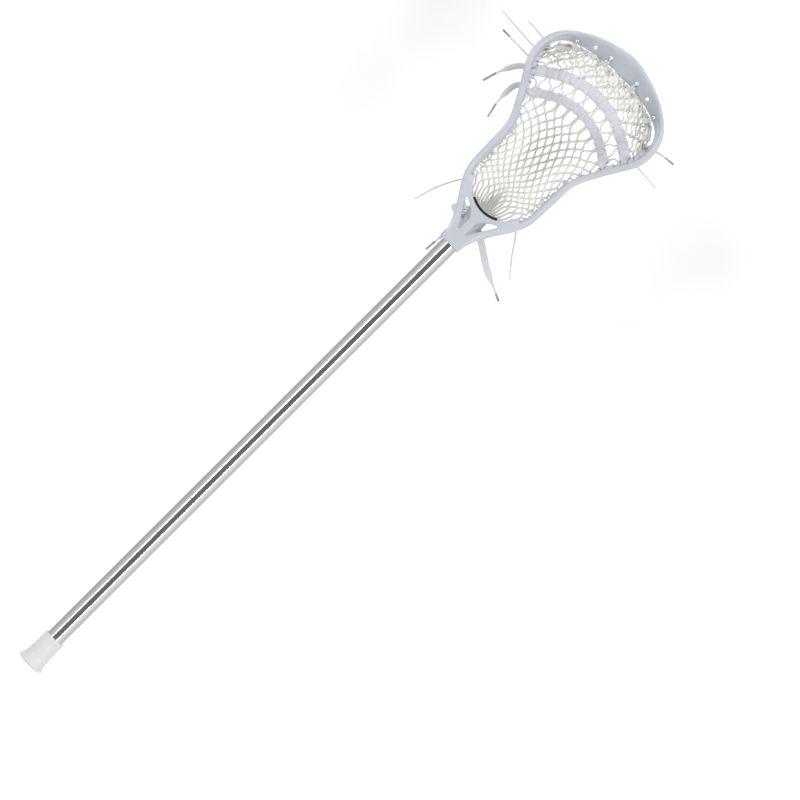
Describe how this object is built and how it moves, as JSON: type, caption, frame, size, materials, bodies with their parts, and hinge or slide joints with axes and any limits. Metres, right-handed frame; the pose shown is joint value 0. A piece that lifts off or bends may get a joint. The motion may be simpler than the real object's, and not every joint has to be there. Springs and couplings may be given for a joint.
{
  "type": "lacrosse stick",
  "caption": "Men's field lacrosse stick: octagonal aluminium shaft, moulded head with a knitted mesh pocket, shooting laces and a rubber butt cap.",
  "frame": {"origin": "centre of the butt cap's flat end face, on the shaft's axis", "axes": "+X along the stick from the butt to the scoop, +Z the face side where the ball enters, +Y the left rail"},
  "size_m": [1.0385, 0.2858, 0.1433],
  "materials": {
    "aluminium": "polished, drawn along its length",
    "rubber": "matt white moulded rubber",
    "nylon": "satin injection-moulded nylon, pale blue grey",
    "steel": "bright zinc plate",
    "foam": "closed-cell foam with a skin",
    "net": "knitted nylon net with a stiffening coat",
    "string": "round braided nylon",
    "lace": "flat woven polyester",
    "aglet": "tightly rolled film"
  },
  "bodies": {
    "stick": {"shaft": "aluminium", "head_frame": "nylon", "ball_stop": "foam", "mesh_pocket": "net", "mesh_tail": "net", "sidewall_string_left": "string", "sidewall_string_right": "string", "top_string": "string", "tail_b": "string", "tail_c": "string", "tail_d": "string", "tail_f": "string", "tail_g": "string", "shooting_lace_lower": "lace", "shooting_lace_upper": "lace", "tail_a": "lace", "tail_e": "lace", "lace_end_upper": "lace", "lace_end_lower": "lace", "throat_lace_left": "lace", "throat_lace_right": "lace", "tail_a_aglet": "aglet", "tail_e_aglet": "aglet", "lace_end_upper_aglet": "aglet", "lace_end_lower_aglet": "aglet", "throat_lace_left_aglet": "aglet", "throat_lace_right_aglet": "aglet"},
    "end_cap": {"end_cap": "rubber"},
    "head_screw": {"head_screw": "steel"}
  },
  "joints": [
    {"name": "end_cap_slide", "type": "slide", "parent": "stick", "child": "end_cap", "axis": [-1, 0, 0], "range_m": [0, 0.05]},
    {"name": "head_screw_draw", "type": "slide", "parent": "stick", "child": "head_screw", "axis": [0, 0, -1], "range_m": [0, 0.016]}
  ]
}
